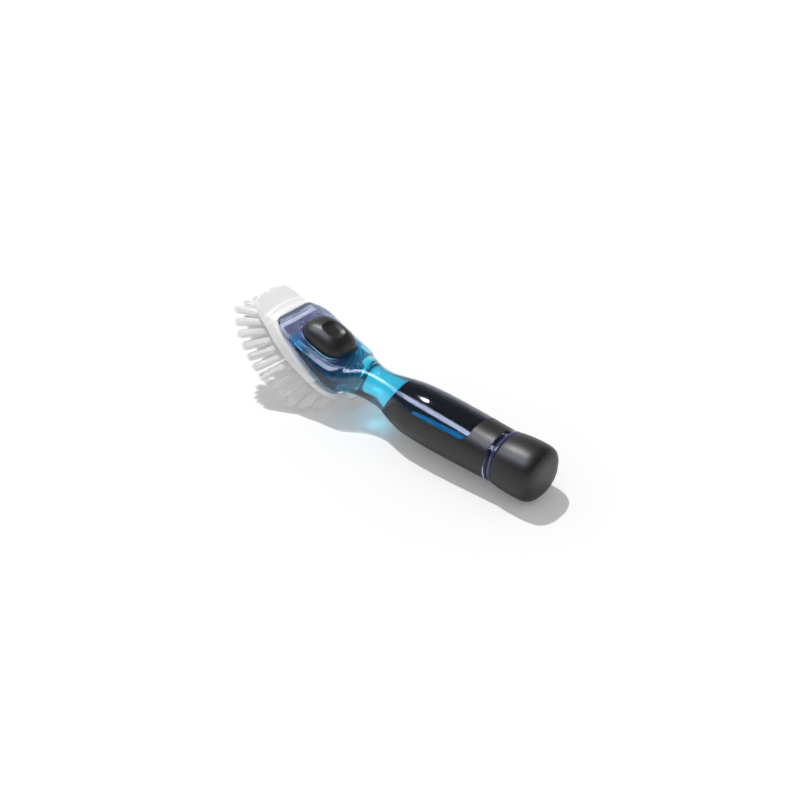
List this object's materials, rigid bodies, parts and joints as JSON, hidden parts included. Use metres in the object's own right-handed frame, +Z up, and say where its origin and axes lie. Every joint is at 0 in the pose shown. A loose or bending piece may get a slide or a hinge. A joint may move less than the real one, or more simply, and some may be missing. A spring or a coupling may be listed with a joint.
{
  "type": "soap-dispensing dish brush",
  "caption": "Dish brush with a clear soap-filled handle, push button over a small pump, removable scrubbing head with a scraper lip, and a cap that closes the filling mouth.",
  "frame": {"origin": "middle of the footprint, on the table under the brush", "axes": "+X from the brush head towards the cap, +Z up, the brush lying on its cap and rear bristles"},
  "size_m": [0.27, 0.0816, 0.0642],
  "materials": {
    "clear_shell": "clear",
    "soft_grip": "matt",
    "soft_button": "matt",
    "soft_cap": "satin",
    "inner_plastic": "gloss",
    "white_plastic": "satin",
    "pale_plastic": "satin",
    "white_nylon": "satin",
    "valve_rubber": "matt",
    "spring_steel": "bright"
  },
  "bodies": {
    "handle": {"clear_body": "clear_shell", "grip_sleeve": "soft_grip", "button_guide": "inner_plastic", "pump_floor": "inner_plastic", "pump_cylinder": "inner_plastic", "inlet_valve": "valve_rubber", "outlet_valve": "valve_rubber", "nozzle": "inner_plastic", "return_spring": "spring_steel"},
    "button": {"button_cover": "soft_button", "button_core": "inner_plastic", "pump_piston": "inner_plastic", "piston_seal": "valve_rubber"},
    "brush_head": {"head_base": "white_plastic", "bristles_1": "white_nylon", "bristles_2": "white_nylon", "bristles_3": "white_nylon", "bristles_4": "white_nylon"},
    "tab": {"release_tab": "pale_plastic"},
    "cap_ring": {"cap_seal": "valve_rubber"},
    "cap": {"cap_insert": "clear_shell", "cap_cover": "soft_cap"}
  },
  "joints": [
    {"name": "button_press", "type": "slide", "parent": "handle", "child": "button", "axis": [-0.314, 0, -0.9494], "range_m": [0, 0.003], "stiffness_N_per_m": 700, "springref_m": -0.002, "deforming": ["return_spring"]},
    {"name": "head_pull", "type": "slide", "parent": "handle", "child": "brush_head", "axis": [-0.5358, 0, -0.8443], "range_m": [0, 0.04]},
    {"name": "tab_flex", "type": "hinge", "parent": "brush_head", "child": "tab", "pos_m": [-0.03736, 0, 0.01637], "axis": [0, 1, 0], "range_deg": [0, 8], "stiffness_Nm_per_rad": 0.5},
    {"name": "cap_pull", "type": "slide", "parent": "handle", "child": "cap_ring", "axis": [0.9993, 0, -0.0361], "range_m": [0, 0.045]},
    {"name": "cap_twist", "type": "hinge", "parent": "cap_ring", "child": "cap", "pos_m": [0.09282, 0, 0.02016], "axis": [0.9993, 0, -0.0361], "range_deg": [0, 60]}
  ]
}
